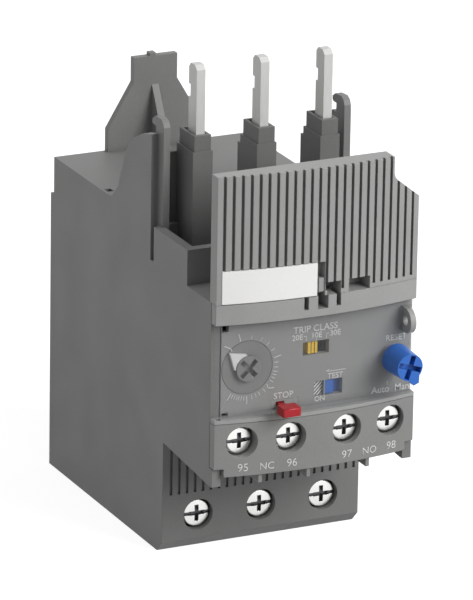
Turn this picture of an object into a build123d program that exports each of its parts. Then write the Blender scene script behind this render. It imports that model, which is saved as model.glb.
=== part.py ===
"""Electronic overload relay for three poles, plugged under a contactor.

Millimetres, +Z up. The origin is on the underside, in the middle of the width and
half way between the front of the terminal foot and the back of the rear cover.
+X is to the right of someone who faces the setting panel, and +Y goes to the back.
"""
from build123d import *
import math
import os

os.makedirs("parts", exist_ok=True)

# Overall sizes
width = 45.0
depth = 57.5
deck_height = 69.3
wall = 2.0
half = width / 2
inner = half - wall

# Poles and auxiliary terminals, from the middle of the width
pole_side = 6.2
pole_pitch = inner - pole_side
pole_x = [-pole_pitch, 0.0, pole_pitch]
aux_inner_x = 6.3
aux_side = 5.8
aux_outer_x = half - aux_side
aux_x = [-aux_outer_x, -aux_inner_x, aux_inner_x, aux_outer_x]

# Foot with the main terminals
foot_front_y = -depth / 2
foot_chamfer = 2.4
foot_groove_pitch = 1.82
foot_groove_width = 0.6
foot_groove_depth = 0.5
foot_groove_bottom = 12.6
foot_groove_top = 23.2
main_screw_z = 7.55
main_screw_hole_r = 3.35
pole_wall = 1.5
wire_entry_side = 2.0
wire_entry_width = pole_pitch - pole_wall - 2 * wire_entry_side
wire_entry_depth = 5.4

# Front module, whose face is bowed in plan
module_reach = 26.45
bow_radius = 104.6
module_bottom_front = 22.8
module_bottom_back = 24.5
face_to_wall = 4.45
wall_reach = module_reach - face_to_wall
tab_length = 1.3
tab_reach = wall_reach + tab_length
tab_top = 26.7
side_gap = 0.2
ledge_reach = 10.4
ledge_drop = 7.5
ledge_height = deck_height - ledge_drop
rim_wall = 2.0
face_inset = 0.05

# Side fins and latch hooks
fin_front = 7.3
fin_back = 28.0
fin_height = 19.2
fin_top = deck_height + fin_height
fin_profile = [(23.6, 3.2), (20.3, 11.0), (18.6, 13.7), (16.0, 16.0), (11.8, 18.1)]
hook_inset = 1.4
hook_thickness = 1.5
hook_front = 4.6
hook_notch = 8.3
hook_nose = 10.1
hook_height = 22.7
hook_top = deck_height + hook_height
hook_nose_height = 2.1
hook_notch_top = hook_top - hook_nose_height
hook_notch_height = 1.9
hook_notch_bottom = hook_notch_top - hook_notch_height
arm_slot = 1.6

# Bracket plate at the back
rear_step = 1.6
rear_step_drop = 8.3
rear_step_height = deck_height - rear_step_drop
bracket_thickness = 1.5
bracket_height = 20.1
bracket_top = deck_height + bracket_height
bracket_shoulder_drop = 5.4
bracket_shoulder = bracket_top - bracket_shoulder_drop
bracket_waist_height = 5.0
bracket_waist = deck_height + bracket_waist_height
bracket_top_width = 10.1
bracket_foot_width = 21.7
bracket_nub_width = 1.4
bracket_nub_height = 0.7
gusset_height = 13.8
gusset_top = deck_height + gusset_height
gusset_depth = 8.0
gusset_thickness = 1.6

# Sleeves that carry the blades
sleeve_width = 4.4
sleeve_front = 0.3
sleeve_back = 8.2
sleeve_height = 16.6
sleeve_shoulder = deck_height + sleeve_height
collar_height = 3.35
collar_top = sleeve_shoulder + collar_height
collar_width = 3.7
collar_front = 0.5
collar_back = 7.6
sleeve_plate_side = 1.25
sleeve_plate_thickness = 1.2
sleeve_plate_drop = 1.9
sleeve_plate_top = sleeve_shoulder - sleeve_plate_drop
sleeve_foot_side = 2.1
sleeve_foot_front = 1.5
sleeve_foot_drop = 0.3
sleeve_foot_top = deck_height - sleeve_foot_drop
well_depth = 7.3
well_floor = deck_height - well_depth
well_back = 14.0
floor_thickness = 2.0

# Blades and bus bars
blade_front = 1.7
blade_back = 5.4
blade_thickness = 1.95
blade_height = 14.4
blade_top = collar_top + blade_height
blade_tip_round = 0.9
blade_notch_height = 7.15
blade_notch_length = 2.7
blade_notch_bottom = collar_top + blade_notch_height
blade_notch_top = blade_notch_bottom + blade_notch_length
blade_notch_depth = 0.85
bar_slot_gap = 0.3
bar_width = 3.7
bar_run_drop = 5.0
bar_run_top = well_floor - bar_run_drop
bar_drop_front = 26.3
bar_run_bottom = 18.0
bus_plate_front = 8.6
bus_plate_thickness = 1.5
bus_plate_bottom = 2.8

# Main terminal screws and rising clamps
main_head_r = 2.95
main_head_face = 0.8
main_head_height = 1.9
main_shank_r = 2.0
clamp_pole_gap = 1.1
clamp_width = pole_pitch - pole_wall - 2 * clamp_pole_gap
clamp_side = 1.2
clamp_wall = 1.5
bus_plate_side = 0.1
bus_plate_width = clamp_width - 2 * (clamp_side + bus_plate_side)
clamp_front = 6.9
clamp_rear = 16.6
clamp_bottom = 3.0
clamp_top = 12.2
thread_gap = 0.05
slot_width = 0.9
slot_depth = 0.9
cross_width = 1.0
cross_length = 3.7
cross_depth = 1.4

# Auxiliary terminals
block_bottom = 25.1
block_top = 36.4
block_depth = 18.0
aux_z = 32.3
aux_hole_r = 3.3
aux_head_r = 2.78
aux_head_inset = 1.4
aux_head_height = 1.9
aux_shank_r = 1.7
aux_shank_length = 6.0
aux_cavity_half = 3.3
aux_cavity_front = 1.9
aux_cavity_depth = 13.0
aux_washer_half = 2.75
aux_washer_thickness = 0.9
aux_wire_gap = 2.2
aux_strip_thickness = 0.8
aux_strip_half = 2.6
divider_thickness = 0.8
divider_drop = 1.9
divider_x = [-12.6, -2.15, 11.5]

# Upper ribbed cover and marker plate
cover_bottom = ledge_height
cover_height = 26.85
cover_top = cover_bottom + cover_height
cover_overlap = 0.8
cover_back_reach = wall_reach - cover_overlap
cover_shell = 1.6
rib_pitch = 1.821
rib_first = 1.526
rib_count = int((width - 2 * rib_first) / rib_pitch) + 1
rib_groove_width = 0.62
rib_groove_depth = 0.8
rib_top_margin = 0.95
rib_bottom_margin = 0.9
corner_cut_width = 6.3
corner_cut_x = half - corner_cut_width
corner_cut_depth = 3.45
corner_cut_top = cover_top - corner_cut_depth
corner_cut_fall = 9.2
corner_cut_edge = cover_top - corner_cut_fall
corner_cut_steps = [(0.3, 1.0), (0.9, 1.6)]
marker_inset = 1.2
marker_left = -half + marker_inset
marker_right = -1.2
marker_gap = 0.15
marker_height = 6.95
marker_bottom = cover_bottom + marker_gap
marker_top = marker_bottom + marker_height
marker_thickness = 0.8
finger_slot_right = 0.5
finger_slot_height = 7.15
finger_slot_top = cover_bottom + finger_slot_height
finger_rise = 0.8
finger_bottom = cover_bottom + finger_rise
finger_height = 2.9
finger_top = finger_bottom + finger_height
notch_left = 1.05
notch_right = 4.1
window_left = 5.95
window_right = 10.85
window_height = 2.65
window_top = cover_bottom + window_height
relief_depth = 1.9

# Control panel and its band
band_top = cover_bottom - face_inset
band_height = 4.25
band_bottom = band_top - band_height
lip_top = 37.3
lip_bottom = 36.5
panel_step = 0.2
panel_reach = wall_reach + panel_step
panel_thickness = 1.5
flange_seat = 0.6
band_slots = [(-4.0, -3.0, 2.6), (-0.95, 1.35, 2.75), (3.2, 4.2, 2.55)]
band_slot_depth = 2.0

# Clear cover and its hinge
clear_inset = 0.5
clear_thickness = 1.0
clear_gap = 0.3
clear_side = 0.3
clear_left = -half + clear_side
clear_right = half - clear_side
hinge_side = 1.2
hinge_x = -half + hinge_side
hinge_reach = wall_reach + 1.4
hinge_pin_r = 0.45
hinge_pin_gap = 0.05
hinge_pin_length = 0.6
hinge_notch = 1.2
clear_stop_gap = 0.4
clear_stop_swing = 1.65
seal_eye_side = 2.0
seal_eye_x = half - seal_eye_side
seal_eye_thickness = 1.2
seal_eye_z = 53.1
seal_eye_r = 2.6
seal_eye_hole_r = 1.1
seal_eye_rise = 0.55
seal_eye_reach = module_reach + seal_eye_rise

# Setting dial
dial_side = 8.0
dial_x = -half + dial_side
dial_z = 47.1
dial_r = 5.6
dial_thickness = 1.2
dial_hub_r = 2.7
dial_hub_height = 0.95
dial_hub_reach = panel_reach + dial_hub_height
dial_shaft_r = 1.5
dial_shaft_entry = 3.2
dial_pointer_r = dial_r - 0.05
dial_pointer_inner = 3.05
dial_pointer_angle = 138.5
dial_cross_length = 4.6
dial_cross_width = 1.0
turning_gap = 0.1

# Sliders in the panel windows
window_gap = 0.2
class_window = (-2.05, 3.8, 47.8, 50.65)
class_slider_left = -1.2
class_slider_width = 2.55
test_window = (3.1, 7.0, 38.7, 41.95)
test_slider_width = 1.9
flag_window = (0.65, 2.85, 38.75, 41.9)
slider_inset = 0.3
slider_flange = 1.0
slider_flange_rise = 0.8
slider_peg = 0.6
slider_peg_entry = 1.0

# Stop button
stop_left = -9.95
stop_right = -6.05
stop_bottom = 38.2
stop_top = 40.05
stop_rise = 3.85
stop_reach = module_reach + stop_rise
stop_flange = 0.8
stop_stem_r = 0.7
stop_stem_reach = 14.2
stop_spring_r = 1.2

# Reset button
reset_side = 4.23
reset_x = half - reset_side
reset_z = 45.07
reset_face_r = 2.85
reset_base_r = 3.15
reset_rise = 3.75
reset_travel = 1.6
reset_reach = module_reach + reset_rise
reset_rear_reach = panel_reach + reset_travel
reset_flange_gap = 0.1
reset_flange_reach = panel_reach - panel_thickness - reset_flange_gap
reset_flange_r = 2.0
reset_flange_thickness = 1.0
reset_stem_inset = 2.7
reset_stem_front = reset_reach - reset_stem_inset
reset_stem_rear = 14.7
reset_spring_r = 1.75
reset_nose_r = 4.05
reset_nose_angle = -68.0
reset_nose_length = 1.7
reset_stem_r = 1.3
stem_gap = 0.05
reset_clear = 0.45
cross_reset_width = 1.15
cross_reset_length = 5.1
cross_reset_depth = 1.5

# Boards
board_reach = 12.0
board_thickness = 1.6
board_bottom = 36.6
board_band_gap = 0.5
board_top = band_bottom - board_band_gap
board_side_gap = 0.3
board_half_width = inner - board_side_gap
board_rail = 1.4
pot_half = 4.5
pot_depth = 4.2
pot_front = board_reach + pot_depth
switch_depth = 5.6
switch_front = board_reach + switch_depth
switch_slot = 1.8
switch_half = 2.0
switch_margin = 0.6
rear_board_space = 12.6
rear_board_front = depth - rear_board_space
rear_board_bottom = 5.0
rear_board_drop = 5.3
rear_board_top = deck_height - rear_board_drop
boss_half = 1.8
boss_side = 5.5
boss_x = inner - boss_side
boss_low_z = 12.0
boss_drop = 11.0
boss_high_z = rear_step_height - boss_drop

# Trip unit
trip_travel = 2.0
slide_reach = 7.0
slide_depth = 2.4
slide_bottom = 43.9
slide_height = 2.4
slide_left = -12.5
slide_right = 12.5
flag_gap = 0.2
flag_reach = panel_reach - panel_thickness - flag_gap
flag_thickness = 0.7
flag_margin = 0.3
flag_arm_bottom = 44.4
flag_arm_height = 1.2
riser_reach = 8.3
riser_width = 2.4
lower_contact_z = 41.5
upper_contact_z = 48.5
contact_x = 7.2
contact_lug = 0.8
contact_lug_half = 1.2
contact_lug_depth = 3.5
contact_pad = 0.7
contact_height = 0.5
contact_gap = 0.1
bridge_thickness = 0.6
bridge_bottom = 40.0
bridge_top = 50.0
coil_back = 0.4
coil_z = 46.0
coil_r = 4.6
coil_length = 13.0
coil_bore_r = 1.6
plunger_r = 1.4
plunger_lug = 1.3
yoke_thickness = 1.2
yoke_half_width = 4.0
yoke_top = 51.0
yoke_seat_x = 4.2
yoke_seat_thickness = 1.5
magnet_r = 3.0
magnet_thickness = 2.0
capacitor_r = 4.0
capacitor_length = 14.0
capacitor_z = 30.0

# Current transformers
core_front = 20.0
core_board_gap = 2.9
core_back = rear_board_front - core_board_gap
core_gap = 2.1
core_half_width = (pole_pitch - core_gap) / 2
core_wall_gap = 0.1
core_wall_half = pole_side - core_wall_gap
core_leg = 3.0
core_bottom = 32.0
core_height = 9.0
winding_side = 2.6
winding_gap = 0.15
shelf_thickness = 2.0

# Springs
spring_wire = 0.45
spring_seat = 0.1
spring_turns = 5
spring_sides = 8


def block(x0, x1, y0, y1, z0, z1):
    """Box between two corners."""
    return Pos((x0 + x1) / 2, (y0 + y1) / 2, (z0 + z1) / 2) * Box(x1 - x0, y1 - y0, z1 - z0)


def at(reach):
    """Y of a place that lies this far behind the foot's front face, or before it if negative."""
    return foot_front_y + reach


def side_extrusion(points, x0, x1):
    """Outline of (distance behind the foot's front, height) drawn out along X."""
    outline = Polyline(*[(at(y), z) for y, z in points], close=True)
    return extrude(Plane.YZ.offset(x0) * make_face(outline), amount=x1 - x0)


def rod(x, y0, y1, z, r):
    """Cylinder along Y."""
    return extrude(Plane.XZ.offset(-y0) * Pos(x, z) * Circle(r), amount=-(y1 - y0))


def rod_x(x0, x1, y, z, r):
    """Cylinder along X."""
    return extrude(Plane.YZ.offset(x0) * Pos(y, z) * Circle(r), amount=x1 - x0)


def post(x, y, z0, z1, r):
    """Cylinder along Z."""
    return Pos(x, y, (z0 + z1) / 2) * Cylinder(r, z1 - z0)


def bow_y(x, inset=0.0):
    """Y of the bowed front face at x, or of a face this far behind it."""
    r = bow_radius - inset
    return at(-module_reach) + bow_radius - math.sqrt(r * r - x * x)


def bowed(x0, x1, back_y, z0, z1, inset=0.0):
    """Block whose front follows the bow, set back by the inset."""
    front = at(-module_reach) + inset
    bow = post(0, at(-module_reach) + bow_radius, z0, z1, bow_radius - inset)
    return block(x0, x1, front, back_y, z0, z1) & bow


def bowed_sheet(x0, x1, inset, thickness, z0, z1):
    """Curved sheet that follows the bow."""
    outer = bowed(x0, x1, at(-wall_reach), z0, z1, inset)
    return outer - bowed(x0 - 1, x1 + 1, at(-wall_reach) + 1, z0 - 1, z1 + 1, inset + thickness)


def mirrored(part):
    """The same piece on the other side of the middle plane."""
    return mirror(part, about=Plane.YZ)


def cross_recess(x, z, face_y, length, width, recess, angle=0.0):
    """Two crossed slots sunk into a face that looks to the front."""
    arm = Box(length, recess, width) + Box(width, recess, length)
    return Pos(x, face_y + recess / 2, z) * Rot(0, angle, 0) * arm


def spring_y(x, z, y0, y1, r):
    """Compression spring along Y: square wire on a coil of straight runs."""
    rise = (y1 - y0 - spring_wire) / (spring_turns * spring_sides)
    points = []
    for i in range(spring_turns * spring_sides + 1):
        a = 2 * math.pi * i / spring_sides
        points.append((x + r * math.cos(a), y0 + spring_wire / 2 + i * rise, z + r * math.sin(a)))
    path = Polyline(*points)
    section = Plane(path @ 0, z_dir=path % 0) * Rectangle(spring_wire, spring_wire)
    return sweep(section, path, transition=Transition.RIGHT)


nodes = {}


def make_main_housing():
    """Moulded case: foot, front module walls, deck, side fins, latch hooks and bracket plate."""
    outline = [
        (foot_chamfer, 0), (0, foot_chamfer), (0, module_bottom_back),
        (-wall_reach, module_bottom_front), (-wall_reach, ledge_height),
        (-ledge_reach, ledge_height), (-ledge_reach, deck_height),
        (depth - rear_step, deck_height), (depth - rear_step, 0)]
    case = side_extrusion(outline, -half, half)

    # Hollow foot and rear, open at the back, and hollow front module, open at the front
    floor_under = well_floor - floor_thickness
    back_y = at(depth)
    case -= block(-inner, inner, at(wall), back_y, wall, floor_under)
    case -= block(-inner, inner, at(well_back + wall), at(depth - rear_step - wall), wall, deck_height - wall)
    case -= block(-inner, inner, at(-wall_reach) - 1, at(wall) + 1, module_bottom_back + wall, floor_under)
    case -= block(-inner, inner, at(-wall_reach) - 1, at(-module_reach + block_depth) + 0.1, module_bottom_front - 1,
                  floor_under)
    # Well round the sleeves
    case -= block(-inner, inner, at(-ledge_reach + rim_wall), at(well_back), well_floor, deck_height + 1)

    for x in pole_x:
        # Slot for the bus bar through the floor of the well
        case -= block(x - blade_thickness / 2 - bar_slot_gap, x + blade_thickness / 2 + bar_slot_gap,
                      at(blade_front - bar_slot_gap), at(blade_back + bar_slot_gap),
                      floor_under - 1, well_floor + 1)
        # Screw hole and wire entry of the main terminal
        case -= rod(x, at(0) - 1, at(wall) + 1, main_screw_z, main_screw_hole_r)
        entry_front = at(bus_plate_front + bus_plate_thickness)
        case -= block(x - wire_entry_width / 2, x + wire_entry_width / 2,
                      entry_front - 0.2, entry_front + wire_entry_depth, -1, wall + 1)
    # Walls between the poles
    for x in (-pole_pitch / 2, pole_pitch / 2):
        case += block(x - pole_wall / 2, x + pole_wall / 2, at(wall), at(clamp_rear + 1.2), wall, module_bottom_back)
    # Seat of the trip relay
    for side in (-1, 1):
        x = side * yoke_seat_x
        case += block(x - yoke_seat_thickness / 2, x + yoke_seat_thickness / 2, at(coil_back - 3),
                      at(coil_back + 3), module_bottom_back, coil_z - coil_r - yoke_thickness)
    # Rails behind the main board
    for side in (-1, 1):
        a = side * inner
        b = side * (inner - board_rail)
        case += block(min(a, b), max(a, b), at(-board_reach) + board_thickness, at(-board_reach) + 2 * board_thickness,
                      board_bottom, board_top)
    # Shelf of the current transformers
    case += block(-inner, inner, at(core_front - 0.5), at(core_front + core_leg), core_bottom - shelf_thickness,
                  core_bottom)

    # Ribbed grip on the foot
    groove_x = -half + rib_first + 0.4
    while groove_x < half - 1:
        case -= block(groove_x - foot_groove_width / 2, groove_x + foot_groove_width / 2,
                      at(0) - 1, at(foot_groove_depth), foot_groove_bottom, foot_groove_top)
        groove_x += foot_groove_pitch

    # Seat of the panel's flange on the right wall
    case -= block(inner - 1, half + 1, at(-wall_reach) - 1, at(-wall_reach) + flange_seat, lip_bottom, band_top)
    # Tabs of the side walls beside the terminal block
    tab = block(-half, -half + wall, at(-tab_reach), at(-wall_reach), module_bottom_front, tab_top)
    case += tab + mirrored(tab)

    # Side fin, with its slot beside the latch arm
    fin = side_extrusion([
        (fin_front, deck_height - 1), (fin_back, deck_height - 1), (fin_back - 1, deck_height),
        *[(y, deck_height + rise) for y, rise in fin_profile], (fin_front, fin_top)],
        -half, -half + wall)
    slot = block(-half - 1, -half + hook_inset - 0.1, at(fin_front - arm_slot), at(fin_front), ledge_height,
                 deck_height + 1)
    hook = side_extrusion([
        (hook_front, well_floor - floor_thickness), (hook_front, hook_top - 1.6), (hook_front + 0.5, hook_top - 0.6),
        (hook_front + 1.6, hook_top), (hook_nose - 1.2, hook_top - 0.2), (hook_nose, hook_top - 1.0),
        (hook_nose, hook_notch_top + 0.4), (hook_nose - 0.4, hook_notch_top), (hook_notch, hook_notch_top),
        (hook_notch, hook_notch_bottom), (hook_notch + 1.2, hook_notch_bottom),
        (hook_notch + 1.2, well_floor - floor_thickness)],
        -half + hook_inset, -half + hook_inset + hook_thickness)
    for side in (lambda p: p, mirrored):
        case += side(fin)
        case -= side(slot)
        case += side(hook)

    # Bracket plate and its gusset
    plate = Polyline(
        (-bracket_foot_width / 2, deck_height - wall), (bracket_foot_width / 2, deck_height - wall),
        (bracket_foot_width / 2, bracket_waist), (bracket_top_width / 2, bracket_shoulder),
        (bracket_top_width / 2, bracket_top), (-bracket_top_width / 2, bracket_top),
        (-bracket_top_width / 2, bracket_shoulder), (-bracket_foot_width / 2, bracket_waist), close=True)
    plate_back = at(depth - rear_step)
    case += extrude(Plane.XZ.offset(-plate_back) * make_face(plate), amount=bracket_thickness)
    case += block(-bracket_nub_width, 0, plate_back - bracket_thickness, plate_back, bracket_top - 1,
                  bracket_top + bracket_nub_height)
    plate_reach = depth - rear_step - bracket_thickness
    case += side_extrusion([
        (plate_reach + 0.5, gusset_top), (plate_reach, gusset_top), (plate_reach - gusset_depth, deck_height - 1),
        (plate_reach + 0.5, deck_height - 1)], -gusset_thickness / 2, gusset_thickness / 2)
    return case


def make_rear_cover():
    """Flat cover on the back, with bosses for the rear board."""
    cover = block(-half, half, at(depth - rear_step), at(depth), 0, rear_step_height)
    for x in (-boss_x, boss_x):
        for z in (boss_low_z, boss_high_z):
            cover += block(x - boss_half, x + boss_half, at(rear_board_front + board_thickness),
                           at(depth - rear_step) + 0.2, z - boss_half, z + boss_half)
    return cover


def make_phase_sleeve(x):
    """Insulating sleeve that stands in the well and holds one blade."""
    back_plate = sleeve_width / 2 + sleeve_plate_side
    sleeve = block(x - sleeve_width / 2, x + sleeve_width / 2, at(sleeve_front), at(sleeve_back),
                   well_floor, sleeve_shoulder)
    sleeve += block(x - back_plate, x + back_plate, at(sleeve_back), at(sleeve_back + sleeve_plate_thickness),
                    well_floor, sleeve_plate_top)
    sleeve += block(x - back_plate - 0.9, x + back_plate + 0.9, at(sleeve_back - sleeve_foot_front),
                    at(sleeve_back + sleeve_plate_thickness), well_floor, sleeve_foot_top)
    sleeve += block(x - collar_width / 2, x + collar_width / 2, at(collar_front), at(collar_back),
                    sleeve_shoulder - 1, collar_top)
    bore = block(x - blade_thickness / 2 - bar_slot_gap, x + blade_thickness / 2 + bar_slot_gap,
                 at(blade_front - bar_slot_gap), at(blade_back + bar_slot_gap), well_floor - 1, collar_top + 1)
    mouth = block(x - blade_thickness / 2 - bar_slot_gap, x + blade_thickness / 2 + bar_slot_gap,
                  at(blade_back), at(collar_back - 0.6), collar_top - 2.5, collar_top + 1)
    return sleeve - bore - mouth


def make_busbar(x):
    """Stamped copper bar: blade, run over the transformer, drop through it and terminal plate."""
    run_bottom = bar_run_top - bar_width
    drop_back = bar_drop_front + bar_width
    plate_back = bus_plate_front + bus_plate_thickness
    tip = blade_tip_round
    bar = side_extrusion([
        (blade_front, run_bottom), (blade_front, blade_top - tip), (blade_front + tip, blade_top),
        (blade_back - tip, blade_top), (blade_back, blade_top - tip), (blade_back, blade_notch_top),
        (blade_back - blade_notch_depth, blade_notch_top), (blade_back - blade_notch_depth, blade_notch_bottom),
        (blade_back, blade_notch_bottom), (blade_back, bar_run_top), (drop_back, bar_run_top),
        (drop_back, bar_run_bottom), (plate_back, bar_run_bottom), (plate_back, bar_run_bottom - 2),
        (bus_plate_front, bar_run_bottom - 2), (bus_plate_front, bar_run_bottom + bar_width),
        (bar_drop_front, bar_run_bottom + bar_width), (bar_drop_front, run_bottom)],
        x - blade_thickness / 2, x + blade_thickness / 2)
    plate = block(x - bus_plate_width / 2, x + bus_plate_width / 2, at(bus_plate_front), at(plate_back),
                  bus_plate_bottom, bar_run_bottom)
    clearance = rod(x, at(bus_plate_front) - 1, at(plate_back) + 1, main_screw_z, main_shank_r + 0.3)
    return bar + plate - clearance


def make_main_screw(x):
    """Terminal screw with a slot and a cross, turning in place."""
    face = at(main_head_face)
    screw = rod(x, face, face + main_head_height, main_screw_z, main_head_r)
    screw += rod(x, face + main_head_height, at(bus_plate_front) - 0.15, main_screw_z, main_shank_r)
    screw -= block(x - main_head_r - 1, x + main_head_r + 1, face - 1, face + slot_depth,
                   main_screw_z - slot_width / 2, main_screw_z + slot_width / 2)
    screw -= cross_recess(x, main_screw_z, face, cross_length, cross_width, cross_depth)
    return screw


def make_main_clamp(x):
    """Rising cage clamp: the screw draws it and the wire up to the bus plate."""
    clamp = block(x - clamp_width / 2, x + clamp_width / 2, at(clamp_front), at(clamp_rear), clamp_bottom, clamp_top)
    clamp -= block(x - clamp_width / 2 + clamp_side, x + clamp_width / 2 - clamp_side,
                   at(clamp_front + clamp_wall), at(clamp_rear - clamp_wall), clamp_bottom - 1, clamp_top + 1)
    return clamp - rod(x, at(clamp_front) - 1, at(clamp_front + clamp_wall) + 1, main_screw_z,
                       main_shank_r + thread_gap)


def make_current_transformer(x):
    """Laminated ring core round the bar, and the winding on its rear leg."""
    back_leg = core_back - core_leg
    left = x - (core_wall_half if x < 0 else core_half_width)
    right = x + (core_wall_half if x > 0 else core_half_width)
    core = block(left, right, at(core_front), at(core_back), core_bottom, core_bottom + core_height)
    core -= block(left + core_leg, right - core_leg, at(core_front + core_leg), at(back_leg),
                  core_bottom - 1, core_bottom + core_height + 1)
    left += core_leg + winding_gap
    right -= core_leg + winding_gap
    winding = block(left, right, at(back_leg - winding_side), at(core_back + winding_side),
                    core_bottom - winding_side, core_bottom + core_height + winding_side)
    winding -= block(left - 1, right + 1, at(back_leg - winding_gap), at(core_back + winding_gap),
                     core_bottom - winding_gap, core_bottom + core_height + winding_gap)
    return core, winding


def make_terminal_block():
    """Block of the four auxiliary terminals, with a flange that follows the bow."""
    front = at(-module_reach)
    body = block(-inner + side_gap, inner - side_gap, front, front + block_depth, block_bottom, block_top)
    bow = post(0, front + bow_radius, block_bottom, block_top, bow_radius)
    flange = bowed(-half + face_inset, half - face_inset, at(-wall_reach) - 0.05, block_bottom, block_top)
    for side in (-1, 1):
        edge = side * half
        flange -= block(min(edge, edge - side * (wall + 0.1)), max(edge, edge - side * (wall + 0.1)),
                        front - 1, at(-wall_reach) + 1, block_bottom - 1, tab_top + 0.15)
    body = (body & bow) + flange
    for x in aux_x:
        face = bow_y(x)
        body -= rod(x, front - 1, face + 4, aux_z, aux_hole_r)
        body -= block(x - aux_cavity_half, x + aux_cavity_half, face + aux_cavity_front, face + aux_cavity_depth,
                      block_bottom - 1, aux_z + aux_hole_r)
        run_z = aux_z + aux_shank_r + 0.4
        body -= block(x - riser_width / 2 - 0.2, x + riser_width / 2 + 0.2, face + aux_cavity_depth - 1,
                      front + block_depth + 1, run_z - 0.2, run_z + aux_strip_thickness + 0.2)
    # Dividers that hang between the wire entries
    for x in divider_x:
        face = bow_y(x) + 0.4
        body += block(x - divider_thickness / 2, x + divider_thickness / 2, face, front + block_depth,
                      block_bottom - divider_drop, block_bottom + 0.5)
    return body


def make_aux_screw(x):
    """Auxiliary terminal screw with a slot and a cross."""
    face = bow_y(x) + aux_head_inset
    screw = rod(x, face, face + aux_head_height, aux_z, aux_head_r)
    screw += rod(x, face + aux_head_height, face + aux_head_height + aux_shank_length, aux_z, aux_shank_r)
    screw -= block(x - aux_head_r - 1, x + aux_head_r + 1, face - 1, face + slot_depth,
                   aux_z - slot_width / 2, aux_z + slot_width / 2)
    screw -= cross_recess(x, aux_z, face, cross_length, cross_width, cross_depth)
    return screw


def make_aux_clamp(x):
    """Square clamp washer under the screw head."""
    y = bow_y(x) + aux_head_inset + aux_head_height
    washer = block(x - aux_washer_half, x + aux_washer_half, y, y + aux_washer_thickness,
                   aux_z - aux_washer_half, aux_z + aux_washer_half)
    return washer - rod(x, y - 1, y + 2, aux_z, aux_shank_r + thread_gap)


def strip_y(x):
    """Front of an auxiliary terminal's contact plate."""
    return bow_y(x) + aux_head_inset + aux_head_height + aux_washer_thickness + aux_wire_gap


def make_aux_contact(x, side, contact_z):
    """Contact strip: terminal plate, run through the block, riser and lug with its rivet.

    side is -1 for the break pair, whose rivets look left, and +1 for the make pair.
    """
    y = strip_y(x)
    t = aux_strip_thickness
    run_z = aux_z + aux_shank_r + 0.4
    riser_y = at(-riser_reach)
    plate = block(x - aux_strip_half, x + aux_strip_half, y, y + t, aux_z - aux_strip_half, run_z + t)
    plate -= rod(x, y - 1, y + t + 1, aux_z, aux_shank_r + thread_gap)
    strip = plate + block(x - riser_width / 2, x + riser_width / 2, y, riser_y + t, run_z, run_z + t)
    strip += block(x - riser_width / 2, x + riser_width / 2, riser_y, riser_y + t, run_z,
                   contact_z + contact_lug_half)
    lug_x0 = min(side * contact_x, side * (contact_x + contact_lug))
    lug_x1 = lug_x0 + contact_lug
    strip += block(min(x, lug_x0), max(x, lug_x1), riser_y, riser_y + t, contact_z - contact_lug_half,
                   contact_z + contact_lug_half)
    strip += block(lug_x0, lug_x1, riser_y, riser_y + contact_lug_depth, contact_z - contact_lug_half,
                   contact_z + contact_lug_half)
    face_x = side * (contact_x + contact_lug)
    end_x = face_x + side * contact_height
    pad_y = at(-slide_reach) + slide_depth / 2
    return strip + block(min(face_x, end_x), max(face_x, end_x), pad_y - contact_pad, pad_y + contact_pad,
                         contact_z - contact_pad, contact_z + contact_pad)


def make_upper_cover():
    """Ribbed cover over the front of the blades, with the seat of the marker plate."""
    cover = bowed(-half + face_inset, half - face_inset, at(-cover_back_reach), cover_bottom, cover_top)
    pocket = bowed(-half + cover_shell, half - cover_shell, at(-cover_back_reach) + 1, cover_bottom + 4,
                   cover_top - cover_shell, cover_shell + rib_groove_depth)
    cover -= pocket
    corner = Polyline((corner_cut_x, cover_top + 1), (corner_cut_x, corner_cut_top), *[(corner_cut_x + dx, corner_cut_top - dz) for dx, dz in corner_cut_steps],
                      (half + 1, corner_cut_edge - 0.9), (half + 1, cover_top + 1),
                      close=True)
    cut = extrude(Plane.XZ.offset(-at(0)) * make_face(corner), amount=module_reach + 5)
    for i in range(rib_count):
        x = -half + rib_first + i * rib_pitch
        cutter = block(x - rib_groove_width / 2, x + rib_groove_width / 2, at(-module_reach) - 1,
                       bow_y(x) + rib_groove_depth, cover_bottom + rib_bottom_margin, cover_top - rib_top_margin)
        cover -= cutter
    cover -= cut
    # Seat of the marker plate, and the finger slot and notches beside it
    cover -= bowed_sheet(marker_left - 0.1, marker_right + 0.1, -1, 1 + marker_thickness, cover_bottom - 1,
                         marker_top + 0.1)
    face = at(-module_reach)
    cover -= block(marker_right, finger_slot_right, face - 1, face + relief_depth, cover_bottom - 1, finger_slot_top)
    cover += block(marker_right + 0.45, finger_slot_right, face + 0.25, face + relief_depth + 0.3, finger_bottom,
                   finger_top)
    cover -= block(notch_left, notch_right, face - 1, face + relief_depth, cover_bottom - 1, window_top)
    cover -= block(window_left, window_right, face - 1, face + relief_depth + 0.6, cover_bottom - 1, window_top)
    return cover


def make_marker_plate():
    """White marker plate that clips into the upper cover."""
    return bowed_sheet(marker_left, marker_right, 0.0, marker_thickness - 0.1, marker_bottom, marker_top)


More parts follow.
